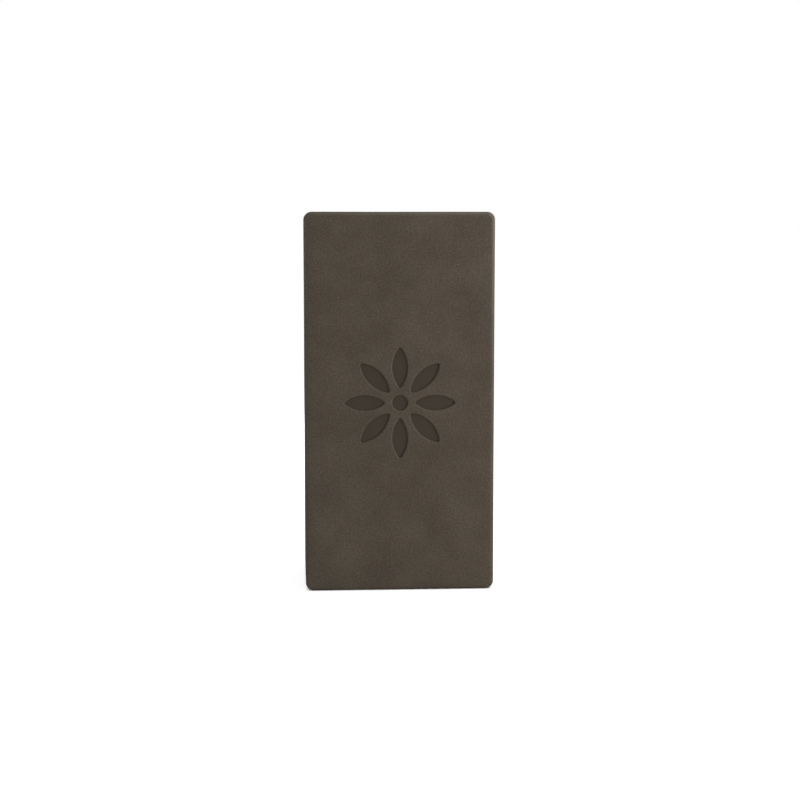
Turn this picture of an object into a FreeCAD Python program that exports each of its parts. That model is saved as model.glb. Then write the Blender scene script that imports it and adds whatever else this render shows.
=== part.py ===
import FreeCAD, Part
import math
import os
import Sketcher

# A yoga brick of firm closed-cell foam, standing on one end.
# Three foam sheets are bonded face to face by two thin films of glue, and nothing on it moves.
# The front broad face looks along -Y, +Z is up, and the origin lies under the brick's middle.

DRIVING_SIZES = {
    "block_width": 110.0,        # across the broad face
    "block_height": 220.0,       # from the end it stands on to the other end
    "outer_thickness": 24.8,     # front and back sheets, skimmed flat once they are bonded
    "core_thickness": 25.0,      # middle sheet
    "film_thickness": 0.2,       # dried glue between two sheets
    "film_setback": 0.4,         # the glue stops this far inside the sheets' sides
    "edge_radius": 2.5,          # rounded edge that runs round each broad face
    "face_corner_radius": 2.0,   # corners of the flat that is left inside the rounded edge
    "petal_count": 8,            # petals of the rosette pressed into the front face
    "petal_length": 23.0,        # from a petal's inner tip to its outer tip
    "petal_width": 9.0,          # at the petal's middle
    "petal_tip_radius": 1.0,     # both tips of a petal
    "dot_radius": 4.5,           # pressed dot in the middle of the rosette
    "dot_gap": 4.5,              # from the dot's rim to the petals' inner tips
    "lip_radius": 0.6,           # soft lip where the pressing meets the face
    "wall_depth": 0.4,           # upright wall of the pressing, under its lip
}

doc = FreeCAD.newDocument("yoga_block")
sizes = doc.addObject("Spreadsheet::Sheet", "Sizes")
for row, (alias, value) in enumerate(DRIVING_SIZES.items(), start=1):
    sizes.set(f"A{row}", alias)
    sizes.set(f"B{row}", str(value))
    sizes.setAlias(f"B{row}", alias)
doc.recompute()

# Sizes that follow from the driving ones, as expressions on the sheet's cells.
OUTLINE_RADIUS = "(Sizes.face_corner_radius + Sizes.edge_radius)"
HALF_CORE = "(Sizes.core_thickness / 2)"
HALF_STACK = f"({HALF_CORE} + Sizes.film_thickness + Sizes.outer_thickness)"
PRESS_DEPTH = "(Sizes.lip_radius + Sizes.wall_depth)"

# A petal is two long arcs that run into a small round tip at each end.
# Its side arcs are centred across the petal, so that they clear its middle and touch both tips.
INNER_TIP_HEIGHT = "(Sizes.dot_radius + Sizes.dot_gap + Sizes.petal_tip_radius)"
HALF_TIP_SPACING = "(Sizes.petal_length / 2 - Sizes.petal_tip_radius)"
OUTER_TIP_HEIGHT = f"({INNER_TIP_HEIGHT} + 2 * {HALF_TIP_SPACING})"
TIP_INSET = "(Sizes.petal_width / 2 - Sizes.petal_tip_radius)"
SIDE_OFFSET = f"(({HALF_TIP_SPACING}^2 - {TIP_INSET}^2) / (2 * {TIP_INSET}))"
SIDE_RADIUS = f"({SIDE_OFFSET} + Sizes.petal_width / 2)"

# The numbers that a sketch gives to a curve's ends and centre, and to its own origin and upright axis.
START_INDEX, END_INDEX, CENTRE_INDEX = 1, 2, 3
ORIGIN_INDEX, UPRIGHT_AXIS_INDEX = -1, -2

PLANE_NORMAL = FreeCAD.Vector(0, 0, 1)
RIGHT_ANGLE = math.radians(90)


def measure(expression):
    """The present value of an expression on the sheet."""
    return float(sizes.evalExpression(expression.replace("Sizes.", "")))


def new_body(label, rear):
    """A body whose rear face lies at `rear` along Y, centred on the brick's height."""
    body = doc.addObject("PartDesign::Body", label)
    body.Label = label
    body.setExpression("Placement.Base.y", rear)
    body.setExpression("Placement.Base.z", "Sizes.block_height / 2")
    return body


def upright_sketch(body, name, forward=None):
    """A sketch on the body's own upright plane, or on one that lies `forward` of it."""
    sketch = body.newObject("Sketcher::SketchObject", name)
    plane = next(item for item in body.Origin.OriginFeatures if item.Role == "XZ_Plane")
    sketch.AttachmentSupport = [(plane, "")]
    sketch.MapMode = "FlatFace"
    if forward:
        sketch.setExpression("AttachmentOffset.Base.z", forward)
    return sketch


def constrain(sketch, *constraint):
    """Add one constraint to a sketch, and give its number there."""
    return sketch.addConstraint(Sketcher.Constraint(*constraint))


def drive(sketch, name, expression, *constraint):
    """Add a dimension to a sketch and bind it to an expression."""
    index = constrain(sketch, *constraint, measure(expression))
    sketch.renameConstraint(index, name)
    sketch.setExpression(f"Constraints.{name}", expression)


def join_smoothly(sketch, curves):
    """Join a closed chain of curves end to start, each tangent to the next."""
    for curve, following in zip(curves, curves[1:] + curves[:1]):
        constrain(sketch, "Tangent", curve, END_INDEX, following, START_INDEX)


def add_circle(sketch, centre_x, centre_y, radius, arc=None):
    """Add a circle, or the arc of it that runs counter-clockwise between two angles."""
    circle = Part.Circle(FreeCAD.Vector(centre_x, centre_y, 0), PLANE_NORMAL, radius)
    return sketch.addGeometry(Part.ArcOfCircle(circle, *arc) if arc else circle)


def add_line(sketch, first_x, first_y, last_x, last_y):
    """Add a straight line between two points."""
    first = FreeCAD.Vector(first_x, first_y, 0)
    last = FreeCAD.Vector(last_x, last_y, 0)
    return sketch.addGeometry(Part.LineSegment(first, last))


def draw_rounded_rectangle(sketch, width, height, radius):
    """Draw a rounded rectangle about the sketch's origin."""
    side = measure(width) / 2
    end = measure(height) / 2
    corner = measure(radius)
    across = side - corner
    along = end - corner
    turns = [turn * RIGHT_ANGLE for turn in range(-1, 4)]
    bottom = add_line(sketch, -across, -end, across, -end)
    bottom_right = add_circle(sketch, across, -along, corner, turns[0:2])
    right = add_line(sketch, side, -along, side, along)
    top_right = add_circle(sketch, across, along, corner, turns[1:3])
    top = add_line(sketch, across, end, -across, end)
    top_left = add_circle(sketch, -across, along, corner, turns[2:4])
    left = add_line(sketch, -side, along, -side, -along)
    bottom_left = add_circle(sketch, -across, -along, corner, turns[3:5])
    join_smoothly(sketch, [bottom, bottom_right, right, top_right, top, top_left, left, bottom_left])
    for level in (bottom, top):
        constrain(sketch, "Horizontal", level)
    for upright in (left, right):
        constrain(sketch, "Vertical", upright)
    for arc in (top_right, top_left, bottom_left):
        constrain(sketch, "Equal", bottom_right, arc)
    constrain(sketch, "Symmetric", bottom, START_INDEX, top, START_INDEX, ORIGIN_INDEX, START_INDEX)
    drive(sketch, "outline_width", width, "DistanceX", left, START_INDEX, right, START_INDEX)
    drive(sketch, "outline_height", height, "DistanceY", bottom, START_INDEX, top, START_INDEX)
    drive(sketch, "corner_radius", radius, "Radius", bottom_right)


def draw_petal(sketch):
    """Draw one upright petal above the sketch's origin."""
    inner_height = measure(INNER_TIP_HEIGHT)
    outer_height = measure(OUTER_TIP_HEIGHT)
    middle = (inner_height + outer_height) / 2
    offset = measure(SIDE_OFFSET)
    side_radius = measure(SIDE_RADIUS)
    tip_radius = measure("Sizes.petal_tip_radius")
    swing = math.atan2(outer_height - middle, offset)
    half_turn = 2 * RIGHT_ANGLE
    right = add_circle(sketch, -offset, middle, side_radius, (-swing, swing))
    outer = add_circle(sketch, 0, outer_height, tip_radius, (swing, half_turn - swing))
    left = add_circle(sketch, offset, middle, side_radius, (half_turn - swing, half_turn + swing))
    inner = add_circle(sketch, 0, inner_height, tip_radius, (half_turn + swing, 2 * half_turn - swing))
    join_smoothly(sketch, [right, outer, left, inner])
    for tip in (inner, outer):
        constrain(sketch, "PointOnObject", tip, CENTRE_INDEX, UPRIGHT_AXIS_INDEX)
    constrain(sketch, "Equal", inner, outer)
    constrain(sketch, "Equal", left, right)
    drive(sketch, "tip_radius", "Sizes.petal_tip_radius", "Radius", outer)
    drive(sketch, "side_radius", SIDE_RADIUS, "Radius", right)
    tips = (("inner_tip", inner, INNER_TIP_HEIGHT), ("outer_tip", outer, OUTER_TIP_HEIGHT))
    for name, tip, height in tips:
        drive(sketch, name, height, "DistanceY", ORIGIN_INDEX, START_INDEX, tip, CENTRE_INDEX)


def draw_dot(sketch):
    """Draw the round dot about the sketch's origin."""
    rim = add_circle(sketch, 0, 0, measure("Sizes.dot_radius"))
    constrain(sketch, "Coincident", rim, CENTRE_INDEX, ORIGIN_INDEX, START_INDEX)
    drive(sketch, "rim_radius", "Sizes.dot_radius", "Radius", rim)


def cut_slab(label, rear, thickness, setback="0"):
    """A body holding a slab of the brick's rounded outline, drawn in by `setback` all round."""
    body = new_body(label, rear)
    outline = upright_sketch(body, f"{label}_outline")
    draw_rounded_rectangle(
        outline,
        f"Sizes.block_width - 2 * {setback}",
        f"Sizes.block_height - 2 * {setback}",
        f"{OUTLINE_RADIUS} - {setback}",
    )
    slab = body.newObject("PartDesign::Pad", f"{label}_slab")
    slab.Profile = outline
    slab.setExpression("Length", thickness)
    doc.recompute()
    return body


def broad_face(shape, facing):
    """The name of the largest flat face that looks along +Y (facing 1) or -Y (facing -1)."""
    faces = [
        (face.Area, f"Face{index}")
        for index, face in enumerate(shape.Faces, start=1)
        if isinstance(face.Surface, Part.Plane) and round(face.normalAt(0, 0).y) == facing
    ]
    return max(faces)[1]


def round_edges(body, name, references, radius):
    """Round the named edges, or all edges of the named faces, of a body as it stands."""
    base = body.Tip
    rounding = body.newObject("PartDesign::Fillet", name)
    rounding.Base = (base, references)
    rounding.setExpression("Radius", radius)
    doc.recompute()


def press_in(body, name, draw):
    """Press a drawn outline into the front face of a body."""
    sketch = upright_sketch(body, f"{name}_outline", forward="Sizes.outer_thickness")
    draw(sketch)
    before = body.Shape.Volume
    pocket = body.newObject("PartDesign::Pocket", name)
    pocket.Profile = sketch
    pocket.setExpression("Length", PRESS_DEPTH)
    doc.recompute()
    if body.Shape.Volume >= before:
        raise RuntimeError(f"{name} takes nothing out of {body.Label}")
    return pocket


# Back sheet: a plain slab with its rear edge rounded over.
back_sheet = cut_slab("back_sheet", HALF_STACK, "Sizes.outer_thickness")
round_edges(back_sheet, "back_edge", [broad_face(back_sheet.Tip.Shape, 1)], "Sizes.edge_radius")

# Glue between the back sheet and the middle sheet.
back_film = cut_slab(
    "back_glue_film", f"{HALF_CORE} + Sizes.film_thickness", "Sizes.film_thickness", "Sizes.film_setback"
)

# Middle sheet: a plain slab.
core_sheet = cut_slab("core_sheet", HALF_CORE, "Sizes.core_thickness")

# Glue between the middle sheet and the front sheet.
front_film = cut_slab("front_glue_film", f"-{HALF_CORE}", "Sizes.film_thickness", "Sizes.film_setback")

# Front sheet: its front edge is rounded over, then petals round a dot are pressed into its face.
front_sheet = cut_slab("front_sheet", f"-({HALF_CORE} + Sizes.film_thickness)", "Sizes.outer_thickness")
round_edges(front_sheet, "front_edge", [broad_face(front_sheet.Tip.Shape, -1)], "Sizes.edge_radius")
press_in(front_sheet, "pressed_dot", draw_dot)
petal = press_in(front_sheet, "pressed_petal", draw_petal)
rosette = front_sheet.newObject("PartDesign::PolarPattern", "pressed_rosette")
rosette.Originals = [petal]
rosette.Axis = (petal.Profile[0], ["N_Axis"])
rosette.Angle = 360
rosette.setExpression("Occurrences", "Sizes.petal_count")
front_sheet.Tip = rosette
doc.recompute()

# The foam swells softly over the lip of every pressing.
pressed_face = rosette.Shape.getElement(broad_face(rosette.Shape, -1))
lips = [wire for wire in pressed_face.Wires if not wire.isSame(pressed_face.OuterWire)]
lip_edges = [edge for lip in lips for edge in lip.Edges]
lip_names = [
    f"Edge{index}"
    for index, edge in enumerate(rosette.Shape.Edges, start=1)
    if any(edge.isSame(lip_edge) for lip_edge in lip_edges)
]
round_edges(front_sheet, "pressed_lips", lip_names, "Sizes.lip_radius")

# Nothing is written unless every object of the document is sound.
pieces = [front_sheet, front_film, core_sheet, back_film, back_sheet]
for item in doc.Objects:
    if {"Invalid", "Error"} & set(item.State):
        raise RuntimeError(f"{item.Label} failed to build: {item.State}")
for piece in pieces:
    if piece.Shape.isNull() or not piece.Shape.isValid() or len(piece.Shape.Solids) != 1:
        raise RuntimeError(f"{piece.Label} is not one sound solid")

os.makedirs("parts", exist_ok=True)
for piece in pieces:
    piece.Shape.exportStep(f"parts/{piece.Label}.step")
    box = piece.Shape.BoundBox
    print(
        f"{piece.Label}: {box.XLength:.2f} x {box.YLength:.2f} x {box.ZLength:.2f} mm, "
        f"its lowest corner at {box.XMin:.2f}, {box.YMin:.2f}, {box.ZMin:.2f}"
    )
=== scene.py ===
import math

import bmesh
import bpy
from mathutils import Matrix, Vector, noise


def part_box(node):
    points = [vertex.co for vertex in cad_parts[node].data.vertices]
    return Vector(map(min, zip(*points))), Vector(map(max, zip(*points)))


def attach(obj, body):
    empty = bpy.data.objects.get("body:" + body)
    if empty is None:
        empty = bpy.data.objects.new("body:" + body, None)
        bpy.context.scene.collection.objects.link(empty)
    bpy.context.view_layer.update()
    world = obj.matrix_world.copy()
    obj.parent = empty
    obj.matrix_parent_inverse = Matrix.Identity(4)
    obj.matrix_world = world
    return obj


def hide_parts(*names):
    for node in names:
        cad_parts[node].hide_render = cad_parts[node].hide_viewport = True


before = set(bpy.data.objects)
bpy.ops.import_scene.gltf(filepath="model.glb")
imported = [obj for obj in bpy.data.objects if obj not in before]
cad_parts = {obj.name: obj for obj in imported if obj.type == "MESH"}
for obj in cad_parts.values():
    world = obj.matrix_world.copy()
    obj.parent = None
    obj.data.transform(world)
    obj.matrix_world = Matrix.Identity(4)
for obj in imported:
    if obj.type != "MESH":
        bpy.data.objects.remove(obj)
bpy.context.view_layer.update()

# Back sheet
# The rearmost of three sheets of closed-cell EVA foam, cut from a moulded slab and bonded to the middle one.
# Its rear edge is rounded over with a cutter; the edge at the bond is only eased by the knife.
MM = 0.001
CORNER_RADIUS = 4.5 * MM
EDGE_RADIUS = 2.5 * MM
BOND_EASE = 0.25 * MM
CORNER_STEPS = 10
EDGE_STEPS = 8
EASE_STEPS = 3
CELL_SIZE = 5 * MM
EDGE_SUPPORT = 0.7 * MM
RIPPLE_LENGTH = 34 * MM
RIPPLE_DEPTH = 0.12 * MM
RIPPLE_FADE = 3 * MM
HIGHLIGHT_AND_WEAR_TILT = math.radians(34)
HIGHLIGHT_AND_WEAR_REACH = math.radians(30)
TINY = 0.001 * MM


def round_over(bm, edges, radius, segments):
    """Round edges to a radius."""
    bmesh.ops.bevel(
        bm, geom=edges, offset=radius, offset_type="OFFSET", segments=segments,
        profile=0.5, affect="EDGES", material=-1, clamp_overlap=False,
    )


def score(bm, axis, low, high):
    """Cut lines across the flats, about a cell apart, with one line close to each rounded edge."""
    normal = Vector([float(axis == index) for index in range(3)])
    first, last = low + EDGE_SUPPORT, high - EDGE_SUPPORT
    middle = (first + last) / 2
    each_way = int((last - middle) / CELL_SIZE)
    lines = [middle + step * CELL_SIZE for step in range(-each_way, each_way + 1)]
    for place in [first, *lines, last]:
        bmesh.ops.bisect_plane(
            bm, geom=bm.verts[:] + bm.edges[:] + bm.faces[:], dist=TINY,
            plane_co=normal * place, plane_no=normal,
        )


def foam_slab(node, outer_side):
    """A slab of a node's size, rounded on its outer side: -1 for the front, 1 for the back, 0 for none."""
    low, high = (Vector(corner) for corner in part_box(node))
    bm = bmesh.new()
    bmesh.ops.create_cube(bm, size=1)
    bmesh.ops.scale(bm, vec=high - low, verts=bm.verts)
    bmesh.ops.translate(bm, vec=(low + high) / 2, verts=bm.verts)
    depthways = [edge for edge in bm.edges if abs(edge.verts[0].co.y - edge.verts[1].co.y) > TINY]
    round_over(bm, depthways, CORNER_RADIUS, CORNER_STEPS)
    radii = {low.y: BOND_EASE, high.y: BOND_EASE}
    if outer_side:
        radii[low.y if outer_side < 0 else high.y] = EDGE_RADIUS
    for face_y, radius in radii.items():
        rim = [edge for edge in bm.edges if all(abs(vert.co.y - face_y) < TINY for vert in edge.verts)]
        round_over(bm, rim, radius, EDGE_STEPS if radius == EDGE_RADIUS else EASE_STEPS)
    score(bm, 0, low.x + CORNER_RADIUS, high.x - CORNER_RADIUS)
    score(bm, 1, low.y + radii[low.y], high.y - radii[high.y])
    score(bm, 2, low.z + CORNER_RADIUS, high.z - CORNER_RADIUS)
    return bm


def settle(bm, low_y, high_y, outer_side):
    """Sink the outer surfaces by an uneven fraction of a millimetre, as cut foam never lies dead flat."""
    bm.normal_update()
    moves = []
    for vert in bm.verts:
        from_bonds = [high_y - vert.co.y] if outer_side < 0 else [vert.co.y - low_y]
        if not outer_side:
            from_bonds.append(high_y - vert.co.y)
        fade = min(1.0, max(0.0, min(from_bonds) - BOND_EASE) / RIPPLE_FADE)
        sink = RIPPLE_DEPTH * (0.5 + 0.5 * noise.noise(vert.co / RIPPLE_LENGTH)) * fade
        moves.append((vert, vert.normal * -sink))
    for vert, move in moves:
        vert.co += move


def wear_and_painted_highlight(vert, low, high, outer_side):
    """How much paler a point is painted, as wear and as a painted highlight: lips in their middle, outer
    edges on the shoulder, most at the top and none at the foot.
    """
    across, deep, up = (abs(part) for part in vert.normal)
    turned = min(1.0, (1 - max(across, deep, up)) / (1 - math.sqrt(0.5)))
    inset = min(vert.co.x - low.x, high.x - vert.co.x, vert.co.z - low.z, high.z - vert.co.z)
    if inset > CORNER_RADIUS:
        return turned
    tilt = math.acos(min(1.0, max(-1.0, vert.normal.y * outer_side)))
    shoulder = math.cos(math.radians(90) * min(1.0, abs(tilt - HIGHLIGHT_AND_WEAR_TILT) / HIGHLIGHT_AND_WEAR_REACH)) ** 2
    # Painted light: the pale line is strongest at the top, where the lamps are, and fades to none at the
    # foot, which stays in shade.
    painted_top_light = (vert.co.z - low.z) / (high.z - low.z)
    return painted_top_light * max(shoulder, (1 - deep) * turned)


def store(mesh, name, values):
    """Keep one number for each point of a mesh, for its material to read."""
    mesh.attributes.new(name, "FLOAT", "POINT").data.foreach_set("value", values)


def foam_piece(bm, name, node, outer_side, pressed=None):
    """Turn a finished bmesh into a piece of foam that stands for a node."""
    low, high = (Vector(corner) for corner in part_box(node))
    bmesh.ops.recalc_face_normals(bm, faces=bm.faces)
    settle(bm, low.y, high.y, outer_side)
    bm.normal_update()
    wear_and_highlight_values = [wear_and_painted_highlight(vert, low, high, outer_side) for vert in bm.verts]
    sideways = [1 - abs(vert.normal.y) for vert in bm.verts]
    mesh = bpy.data.meshes.new(name)
    bm.to_mesh(mesh)
    bm.free()
    mesh.shade_smooth()
    store(mesh, "worn_and_highlighted_edge", wear_and_highlight_values)
    store(mesh, "cut_side", sideways)
    store(mesh, "pressed", pressed or [0.0] * len(mesh.vertices))
    mesh.materials.append(eva_foam)
    piece = bpy.data.objects.new(name, mesh)
    bpy.context.collection.objects.link(piece)
    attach(piece, "root")
    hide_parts(node)


def linear(hex_colour):
    """Turn an sRGB hex colour into linear RGBA."""
    channels = [int(hex_colour[start:start + 2], 16) / 255 for start in (1, 3, 5)]
    return [c / 12.92 if c <= 0.04045 else ((c + 0.055) / 1.055) ** 2.4 for c in channels] + [1]


def add_node(tree, kind, settings, inputs):
    """Add a node with its settings, and set or link its inputs by name or number."""
    node = tree.nodes.new(kind)
    for name, value in settings.items():
        setattr(node, name, value)
    for name, value in inputs.items():
        if isinstance(value, bpy.types.NodeSocket):
            tree.links.new(value, node.inputs[name])
        else:
            node.inputs[name].default_value = value
    return node


# Closed-cell EVA foam: dull and cloudy, darker and smoother where a die pressed it, and paler on its edges,
# partly as wear and partly as a painted highlight that is strongest near the top.
# Its broad faces are sanded; the knife leaves faint lines on the sides, across all three sheets.
# Its cells are a third of a millimetre across, so the grain is drawn two or three times coarser to show.
CLOUD_SIZE = 22 * MM
GRAIN_SIZE = 1.1 * MM
CELL_PIT_SIZE = 0.8 * MM
KNIFE_LINE_SPACING = 1.6 * MM
KNIFE_LINE_LENGTH = 40 * MM
GRAIN_DEPTH = 0.08 * MM
CELL_PIT_DEPTH = 0.05 * MM
KNIFE_LINE_DEPTH = 0.025 * MM
GRAIN_SHARE = 0.27
KNIFE_LINE_SHARE = 0.08
WEAR_AND_HIGHLIGHT_SHARE = 0.3
eva_foam = bpy.data.materials.new("EVA foam, closed cell, sanded")
eva_foam.use_nodes = True
tree = eva_foam.node_tree
shader = tree.nodes["Principled BSDF"]
place = add_node(tree, "ShaderNodeTexCoord", {}, {}).outputs["Object"]
worn_and_highlighted = add_node(tree, "ShaderNodeAttribute", {"attribute_name": "worn_and_highlighted_edge"}, {}).outputs["Fac"]
cut = add_node(tree, "ShaderNodeAttribute", {"attribute_name": "cut_side"}, {}).outputs["Fac"]
pressed = add_node(tree, "ShaderNodeAttribute", {"attribute_name": "pressed"}, {}).outputs["Fac"]
clouds = add_node(
    tree, "ShaderNodeTexNoise", {},
    {"Vector": place, "Scale": 1 / CLOUD_SIZE, "Detail": 5, "Roughness": 0.62},
).outputs["Fac"]
grain = add_node(
    tree, "ShaderNodeTexNoise", {}, {"Vector": place, "Scale": 1 / GRAIN_SIZE, "Detail": 2, "Roughness": 0.6}
).outputs["Fac"]
pits = add_node(
    tree, "ShaderNodeTexVoronoi", {"feature": "SMOOTH_F1"}, {"Vector": place, "Scale": 1 / CELL_PIT_SIZE}
).outputs["Distance"]
along_knife = add_node(
    tree, "ShaderNodeMapping", {},
    {"Vector": place, "Scale": (1 / KNIFE_LINE_SPACING, 1 / KNIFE_LINE_LENGTH, 1 / KNIFE_LINE_SPACING)},
).outputs["Vector"]
knife_lines = add_node(
    tree, "ShaderNodeTexNoise", {}, {"Vector": along_knife, "Scale": 1, "Detail": 1}
).outputs["Fac"]
speckle = add_node(
    tree, "ShaderNodeMapRange", {}, {"Value": grain, "From Min": 0.25, "From Max": 0.75}
).outputs["Result"]
cloudy = add_node(
    tree, "ShaderNodeMix", {"data_type": "RGBA"}, {0: clouds, 6: linear("#3E362E"), 7: linear("#585045")}
).outputs[2]
grainy = add_node(
    tree, "ShaderNodeMix", {"data_type": "RGBA", "blend_type": "OVERLAY"},
    {0: GRAIN_SHARE, 6: cloudy, 7: speckle},
).outputs[2]
line_strength = add_node(
    tree, "ShaderNodeMapRange", {}, {"Value": cut, "To Max": KNIFE_LINE_SHARE}
).outputs["Result"]
lined = add_node(
    tree, "ShaderNodeMix", {"data_type": "RGBA", "blend_type": "OVERLAY"},
    {0: line_strength, 6: grainy, 7: knife_lines},
).outputs[2]
highlight_and_wear_amount = add_node(
    tree, "ShaderNodeMapRange", {}, {"Value": worn_and_highlighted, "To Max": WEAR_AND_HIGHLIGHT_SHARE}
).outputs["Result"]
# Wear and painted highlight: a pale grey on the edges and lips, greyish like a sheen.
edged = add_node(
    tree, "ShaderNodeMix", {"data_type": "RGBA"}, {0: highlight_and_wear_amount, 6: lined, 7: linear("#6E6860")}
).outputs[2]
colour = add_node(
    tree, "ShaderNodeMix", {"data_type": "RGBA"}, {0: pressed, 6: edged, 7: linear("#3D352C")}
).outputs[2]
tree.links.new(colour, shader.inputs["Base Color"])
dullness = add_node(
    tree, "ShaderNodeMapRange", {}, {"Value": clouds, "To Min": 0.74, "To Max": 0.86}
).outputs["Result"]
roughness = add_node(
    tree, "ShaderNodeMix", {}, {0: pressed, 2: dullness, 3: 0.6}
).outputs[0]
tree.links.new(roughness, shader.inputs["Roughness"])
pit_depth = add_node(
    tree, "ShaderNodeMapRange", {}, {"Value": cut, "To Min": 0.25, "To Max": 0.7}
).outputs["Result"]
pitted = add_node(
    tree, "ShaderNodeBump", {}, {"Height": pits, "Strength": pit_depth, "Distance": CELL_PIT_DEPTH}
).outputs["Normal"]
scored = add_node(
    tree, "ShaderNodeBump", {},
    {"Height": knife_lines, "Strength": cut, "Distance": KNIFE_LINE_DEPTH, "Normal": pitted},
).outputs["Normal"]
tree.links.new(
    add_node(
        tree, "ShaderNodeBump", {},
        {"Height": grain, "Strength": 0.5, "Distance": GRAIN_DEPTH, "Normal": scored},
    ).outputs["Normal"],
    shader.inputs["Normal"],
)
shader.inputs["IOR"].default_value = 1.49
shader.inputs["Specular IOR Level"].default_value = 0.1

foam_piece(foam_slab("back_sheet", 1), "back_foam_sheet", "back_sheet", 1)

# Glue films
# Two films of contact adhesive, brushed on both faces of a joint, dried and pressed together.
# They stop just short of the sides, so only a hairline of each shows between two sheets.
glue = bpy.data.materials.new("Contact adhesive, dried")
glue.use_nodes = True
tree = glue.node_tree
shader = tree.nodes["Principled BSDF"]
BRUSH_MARK = 3 * MM
BRUSH_MARK_DEPTH = 0.05 * MM
place = add_node(tree, "ShaderNodeTexCoord", {}, {}).outputs["Object"]
brushed = add_node(
    tree, "ShaderNodeTexNoise", {}, {"Vector": place, "Scale": 1 / BRUSH_MARK, "Detail": 2}
).outputs["Fac"]
tree.links.new(
    add_node(
        tree, "ShaderNodeMix", {"data_type": "RGBA"},
        {0: brushed, 6: linear("#2E2318"), 7: linear("#46361F")},
    ).outputs[2],
    shader.inputs["Base Color"],
)
tree.links.new(
    add_node(
        tree, "ShaderNodeBump", {}, {"Height": brushed, "Distance": BRUSH_MARK_DEPTH}
    ).outputs["Normal"],
    shader.inputs["Normal"],
)
shader.inputs["Roughness"].default_value = 0.45
for node in ("back_glue_film", "front_glue_film"):
    bpy.data.objects[node].data.materials.clear()
    bpy.data.objects[node].data.materials.append(glue)

# Middle sheet
# The same foam between two bonds, so both of its broad faces are hidden and only its sides show.
# All four sides are knife cut with the stack, flush with the sheets in front and behind.
foam_piece(foam_slab("core_sheet", 0), "core_foam_sheet", "core_sheet", 0)

# Front sheet
# The sheet that faces the user, rounded over along its front edge like the back one.
# A hot die has pressed a rosette of plain petals round a dot into the middle of its face.
PETALS = 8
PETAL_LENGTH = 23 * MM
PETAL_WIDTH = 9 * MM
PETAL_TIP_RADIUS = 1 * MM
DOT_RADIUS = 4.5 * MM
DOT_GAP = 4.5 * MM
LIP_RADIUS = 0.6 * MM
PRESS_DEPTH = 1 * MM
FLOOR_RADIUS = 0.25 * MM
LIP_SUPPORT = 0.5 * MM
ROSETTE_HALF = 35 * MM
PETAL_SIDE_STEPS = 24
PETAL_TIP_STEPS = 8
DOT_STEPS = 64
LIP_STEPS = 4

front = foam_slab("front_sheet", -1)
front_low, front_high = (Vector(corner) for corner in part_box("front_sheet"))
face_y = front_low.y
rosette_centre = Vector((0, face_y, (front_low.z + front_high.z) / 2))


def in_rosette(point):
    """Whether a point lies in the square of the face that holds the rosette."""
    offset = point - rosette_centre
    return max(abs(offset.x), abs(offset.z)) < ROSETTE_HALF + TINY


def petal_arcs():
    """The arcs round an upright petal, each as centre, radius, first angle, sweep and steps."""
    half_spacing = PETAL_LENGTH / 2 - PETAL_TIP_RADIUS
    inset = PETAL_WIDTH / 2 - PETAL_TIP_RADIUS
    offset = (half_spacing ** 2 - inset ** 2) / (2 * inset)
    side_radius = offset + PETAL_WIDTH / 2
    middle = DOT_RADIUS + DOT_GAP + PETAL_LENGTH / 2
    swing = math.atan2(half_spacing, offset)
    tip_sweep = math.pi - 2 * swing
    return [
        ((-offset, middle), side_radius, -swing, 2 * swing, PETAL_SIDE_STEPS),
        ((0, middle + half_spacing), PETAL_TIP_RADIUS, swing, tip_sweep, PETAL_TIP_STEPS),
        ((offset, middle), side_radius, math.pi - swing, 2 * swing, PETAL_SIDE_STEPS),
        ((0, middle - half_spacing), PETAL_TIP_RADIUS, math.pi + swing, tip_sweep, PETAL_TIP_STEPS),
    ]


def press(bm, arcs):
    """Press one outline into the face: sweep its edge round the arcs, then close the floor."""
    before = set(bm.faces)
    quarter = [math.radians(90) * step / LIP_STEPS for step in range(LIP_STEPS + 1)]
    section = [(LIP_RADIUS + LIP_SUPPORT, 0)]
    section += [(LIP_RADIUS * (1 - math.sin(a)), LIP_RADIUS * (1 - math.cos(a))) for a in quarter]
    section += [
        (FLOOR_RADIUS * (math.cos(a) - 1), PRESS_DEPTH - FLOOR_RADIUS * (1 - math.sin(a))) for a in quarter
    ]
    section.append((-FLOOR_RADIUS - LIP_SUPPORT, PRESS_DEPTH))
    (across, up), radius, angle, _, _ = arcs[0]
    outwards = Vector((math.cos(angle), 0, math.sin(angle)))
    start = rosette_centre + Vector((across, 0, up)) + outwards * radius
    points = [bm.verts.new(start + outwards * grow + Vector((0, depth, 0))) for grow, depth in section]
    swept = points + [bm.edges.new(pair) for pair in zip(points, points[1:])]
    for (across, up), _, _, sweep, steps in arcs:
        swept = bmesh.ops.spin(
            bm, geom=swept, cent=rosette_centre + Vector((across, 0, up)), axis=(0, -1, 0),
            angle=sweep, steps=steps, use_merge=len(arcs) == 1,
        )["geom_last"]
    walls = [face for face in bm.faces if face not in before]
    bmesh.ops.remove_doubles(bm, verts=list({vert for face in walls for vert in face.verts}), dist=TINY)
    floor_rim = [edge for edge in bm.edges if edge.is_boundary and all(
        abs(vert.co.y - face_y - PRESS_DEPTH) < TINY for vert in edge.verts
    )]
    bmesh.ops.edgeloop_fill(bm, edges=floor_rim)
    return [face for face in bm.faces if face not in before]


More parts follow.
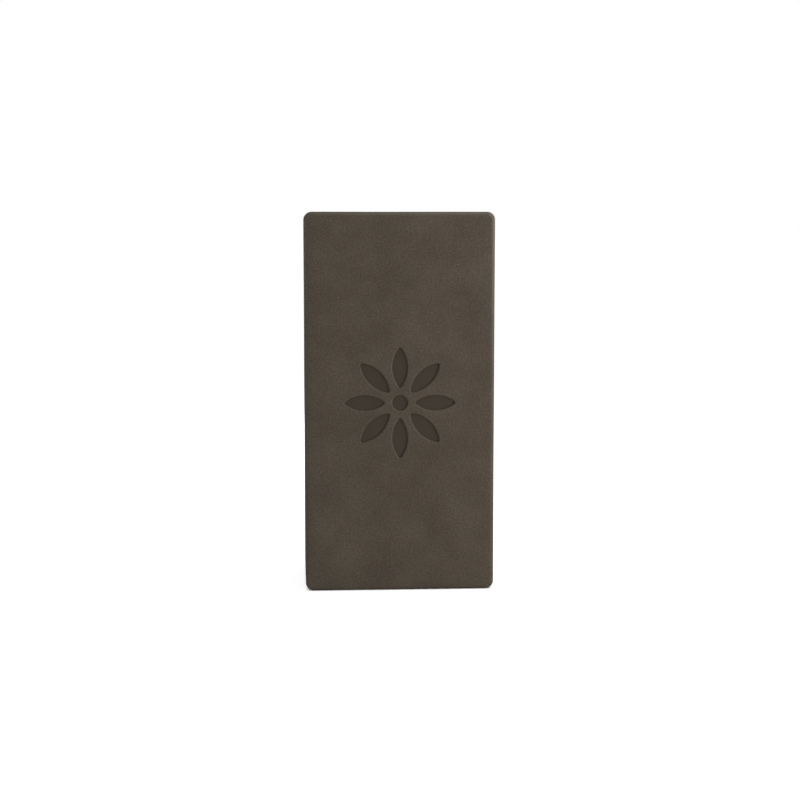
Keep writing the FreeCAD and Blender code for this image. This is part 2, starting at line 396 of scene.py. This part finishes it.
blank = [face for face in front.faces if all(
    abs(vert.co.y - face_y) < TINY and in_rosette(vert.co) for vert in face.verts
)]
bmesh.ops.delete(front, geom=blank, context="FACES")
press(front, [((0, 0), DOT_RADIUS, 0, math.radians(360), DOT_STEPS)])
petal = press(front, petal_arcs())
for number in range(1, PETALS):
    copied = bmesh.ops.duplicate(front, geom=petal)["geom"]
    bmesh.ops.rotate(
        front, cent=rosette_centre, matrix=Matrix.Rotation(math.radians(360) * number / PETALS, 3, "Y"),
        verts=[item for item in copied if isinstance(item, bmesh.types.BMVert)],
    )
open_edges = [edge for edge in front.edges if edge.is_boundary]
bmesh.ops.triangle_fill(front, edges=open_edges, use_beauty=True, normal=(0, -1, 0))
sunk = [
    min(1.0, max(0.0, (vert.co.y - face_y) / PRESS_DEPTH)) if in_rosette(vert.co) else 0.0
    for vert in front.verts
]
foam_piece(front, "front_foam_sheet", "front_sheet", -1, sunk)

# Floor and background
# A plain floor of pale paper that runs back into a white background.
# The paper glows only to the eye, so that it looks white, but not in the gap under the rounded foot.
FLOOR_HALF = 20
FLOOR_GLOW = 0.52
GAP_SHADE = 2 * MM
floor_mesh = bmesh.new()
bmesh.ops.create_grid(floor_mesh, x_segments=1, y_segments=1, size=FLOOR_HALF)
floor_data = bpy.data.meshes.new("studio_floor")
floor_mesh.to_mesh(floor_data)
floor_mesh.free()
floor = bpy.data.objects.new("studio_floor", floor_data)
bpy.context.collection.objects.link(floor)
paper = bpy.data.materials.new("White paper backdrop")
paper.use_nodes = True
tree = paper.node_tree
shader = tree.nodes["Principled BSDF"]
shader.inputs["Base Color"].default_value = linear("#E7E7E7")
shader.inputs["Roughness"].default_value = 0.9
shader.inputs["Specular IOR Level"].default_value = 0.1
shader.inputs["Emission Color"].default_value = linear("#FFFFFF")


def seen_directly(tree):
    """1 where a camera, mirror or glass ray looks, and 0 where light only bounces."""
    rays = add_node(tree, "ShaderNodeLightPath", {}, {}).outputs
    seen = rays["Is Camera Ray"]
    for other in ("Is Glossy Ray", "Is Transmission Ray"):
        seen = add_node(
            tree, "ShaderNodeMath", {"operation": "MAXIMUM"}, {0: seen, 1: rays[other]}
        ).outputs[0]
    return seen


openness = add_node(
    tree, "ShaderNodeAmbientOcclusion", {"samples": 4}, {"Distance": GAP_SHADE}
).outputs["AO"]
glow_left = add_node(
    tree, "ShaderNodeMapRange", {}, {"Value": openness, "To Max": FLOOR_GLOW}
).outputs["Result"]
glow = add_node(
    tree, "ShaderNodeMath", {"operation": "MULTIPLY"}, {0: seen_directly(tree), 1: glow_left}
).outputs[0]
tree.links.new(glow, shader.inputs["Emission Strength"])
floor_data.materials.append(paper)

world = bpy.data.worlds.new("white_studio")
bpy.context.scene.world = world
world.use_nodes = True
tree = world.node_tree
AMBIENT = 0.7
brightness = add_node(
    tree, "ShaderNodeMix", {}, {0: seen_directly(tree), 2: AMBIENT, 3: 1.0}
).outputs[0]
sky = tree.nodes["Background"]
sky.inputs["Color"].default_value = linear("#FFFFFF")
tree.links.new(brightness, sky.inputs["Strength"])


# Studio lamps
# A soft box at the right, a small lamp close to the upper right corner, and a soft box behind.
# The white room gives the rest of the light.
def soft_box(name, place, aim, width, height, power):
    """Hang a rectangular lamp at a place, turned to face a point."""
    lamp = bpy.data.lights.new(name, "AREA")
    lamp.shape = "RECTANGLE"
    lamp.size, lamp.size_y = width, height
    lamp.energy = power
    hung = bpy.data.objects.new(name, lamp)
    hung.location = place
    hung.rotation_euler = (Vector(aim) - Vector(place)).to_track_quat("-Z", "Y").to_euler()
    hung.visible_camera = False
    bpy.context.collection.objects.link(hung)


BLOCK_MIDDLE = (0, 0, 0.11)
soft_box("key_soft_box", (0.5, -0.35, 0.14), BLOCK_MIDDLE, 0.25, 0.25, 1.55)
soft_box("edge_lamp", (0.22, -0.07, 0.32), (0.055, -0.03, 0.2), 0.08, 0.08, 0.44)
soft_box("rear_soft_box", (-0.2, 0.8, 0.35), BLOCK_MIDDLE, 0.4, 0.4, 3)

# Camera
# Almost level with the top of the block and a little to its left, a metre away.
# A short telephoto lens, tipped down a few degrees.
camera_data = bpy.data.cameras.new("photo_camera")
camera_data.sensor_width = 36
camera_data.lens = 75.48
camera = bpy.data.objects.new("photo_camera", camera_data)
camera.location = (-60 * MM, -1000 * MM, 213.3 * MM)
camera.rotation_euler = (math.radians(90 - 6.011), 0, math.radians(-3.567))
bpy.context.collection.objects.link(camera)
bpy.context.scene.camera = camera
bpy.context.scene.view_settings.view_transform = "Standard"
